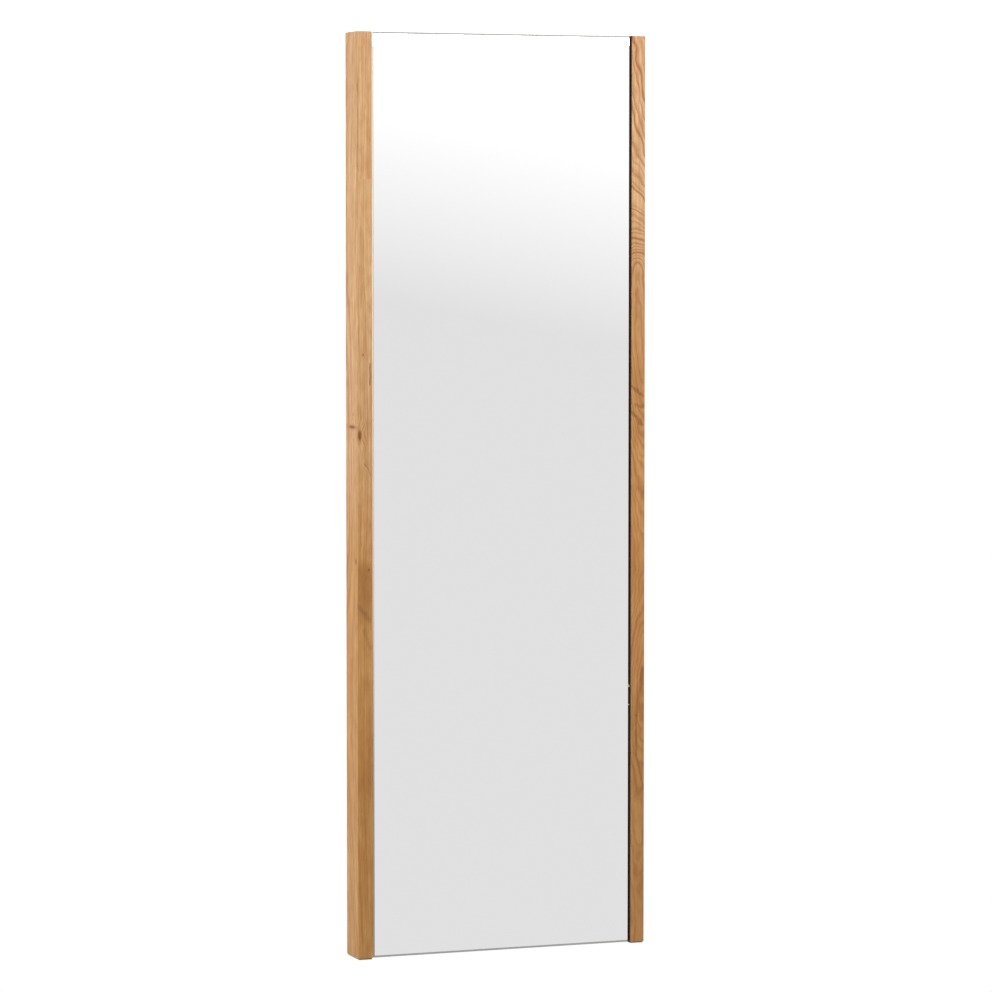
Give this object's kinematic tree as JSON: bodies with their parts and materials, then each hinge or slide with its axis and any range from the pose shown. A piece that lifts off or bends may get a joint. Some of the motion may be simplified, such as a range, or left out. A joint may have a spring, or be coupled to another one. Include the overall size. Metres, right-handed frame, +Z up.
{
  "type": "floor mirror",
  "caption": "Full-length floor mirror: frameless glass between deep oak stiles, with a hinged rear prop on a slotted stay that folds flat into the back.",
  "frame": {"origin": "on the floor, under the middle of the standing mirror with its prop folded", "axes": "+X to the right as seen by a person facing the glass, +Y to the back, +Z up; the glass faces -Y"},
  "size_m": [0.6, 0.07, 1.8],
  "materials": {
    "oak": "oiled, satin",
    "mirror": "polished",
    "fibreboard": "raw, matt",
    "foam_tape": "matt",
    "felt": "matt",
    "zinc": "zinc plated, satin",
    "steel": "satin",
    "nickel": "nickel plated",
    "rubber": "matt"
  },
  "bodies": {
    "mirror_frame": {"bond_tape_1": "foam_tape", "bond_tape_2": "foam_tape", "bond_tape_3": "foam_tape", "carrier_panel": "fibreboard", "catch_magnet": "nickel", "catch_magnet_screw": "steel", "frame_leaf_screw_1": "steel", "frame_leaf_screw_2": "steel", "frame_leaf_screw_3": "steel", "glide_left": "felt", "glide_right": "felt", "hinge_frame_leaf": "zinc", "hinge_pin": "steel", "keyhole_plate_left": "zinc", "keyhole_plate_right": "zinc", "mirror_glass": "mirror", "panel_screw_bottom_left": "steel", "panel_screw_bottom_right": "steel", "panel_screw_hinge_left": "steel", "panel_screw_hinge_right": "steel", "panel_screw_stay_left": "steel", "panel_screw_stay_right": "steel", "panel_screw_top_left": "steel", "panel_screw_top_right": "steel", "plate_screw_left_lower": "steel", "plate_screw_left_upper": "steel", "plate_screw_right_lower": "steel", "plate_screw_right_upper": "steel", "rail_bottom": "oak", "rail_hinge": "oak", "rail_stay": "oak", "rail_top": "oak", "stay_bracket": "zinc", "stay_bracket_screw_lower": "steel", "stay_bracket_screw_upper": "steel", "stay_pivot_rivet": "steel", "stile_left": "oak", "stile_right": "oak"},
    "prop": {"catch_strike": "nickel", "catch_strike_screw": "steel", "hinge_prop_leaf": "zinc", "prop_bar_bottom": "oak", "prop_bar_middle": "oak", "prop_bar_top": "oak", "prop_foot_left": "rubber", "prop_foot_right": "rubber", "prop_leaf_screw_1": "steel", "prop_leaf_screw_2": "steel", "prop_leg_left": "oak", "prop_leg_right": "oak", "stay_slide_stud": "steel"},
    "stay_arm": {"stay_arm": "zinc"}
  },
  "joints": [
    {"name": "prop_hinge", "type": "hinge", "parent": "mirror_frame", "child": "prop", "pos_m": [0, 0.0081, 1.35], "axis": [1, 0, 0], "range_deg": [0, 14]},
    {"name": "stay_pivot", "type": "hinge", "parent": "mirror_frame", "child": "stay_arm", "pos_m": [0.1165, 0.0209, 1.05], "axis": [1, 0, 0], "range_deg": [0, 27.6]}
  ],
  "couplings": [
    {"joint": "stay_pivot", "follows": "prop_hinge", "ratio": 1.97}
  ]
}
